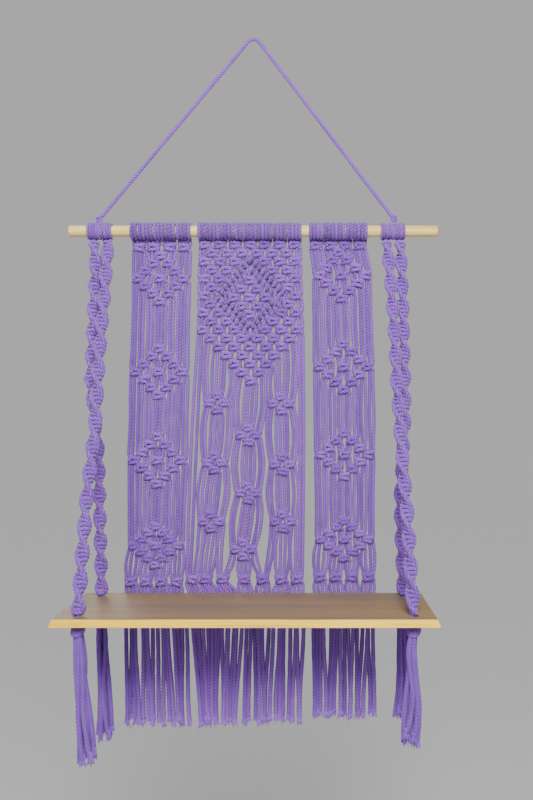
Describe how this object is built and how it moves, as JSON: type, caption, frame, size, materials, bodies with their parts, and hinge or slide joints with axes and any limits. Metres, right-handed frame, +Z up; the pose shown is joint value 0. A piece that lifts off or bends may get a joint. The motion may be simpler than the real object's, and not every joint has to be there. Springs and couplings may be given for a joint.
{
  "type": "macrame wall shelf with rod and board",
  "caption": "Hanging macrame wall shelf: knotted cotton panels with fringe on a round wooden rod, spiral straps carrying a bevelled pine board, and a cord loop for a nail.",
  "frame": {"origin": "top of the nail under the hanger cord, where the cord bears on it", "axes": "+X along the rod to the viewer's right, +Y into the wall, +Z up; the shelf hangs below and in front of the origin"},
  "size_m": [0.5, 0.1791, 0.9504],
  "materials": {
    "cotton_cord": "matte twisted cotton rope",
    "rod_wood": "sanded bare pine dowel",
    "board_wood": "satin pine"
  },
  "bodies": {
    "root": {"rod": "rod_wood", "board": "board_wood", "hanger_cord": "cotton_cord", "hanger_knot_left": "cotton_cord", "hanger_knot_right": "cotton_cord", "panel_left": "cotton_cord", "panel_centre": "cotton_cord", "panel_right": "cotton_cord", "fringe_left": "cotton_cord", "fringe_centre": "cotton_cord", "fringe_right": "cotton_cord", "strap_front_left": "cotton_cord", "strap_rear_left": "cotton_cord", "strap_front_right": "cotton_cord", "strap_rear_right": "cotton_cord", "tassel_front_left": "cotton_cord", "tassel_rear_left": "cotton_cord", "tassel_front_right": "cotton_cord", "tassel_rear_right": "cotton_cord"}
  },
  "joints": []
}
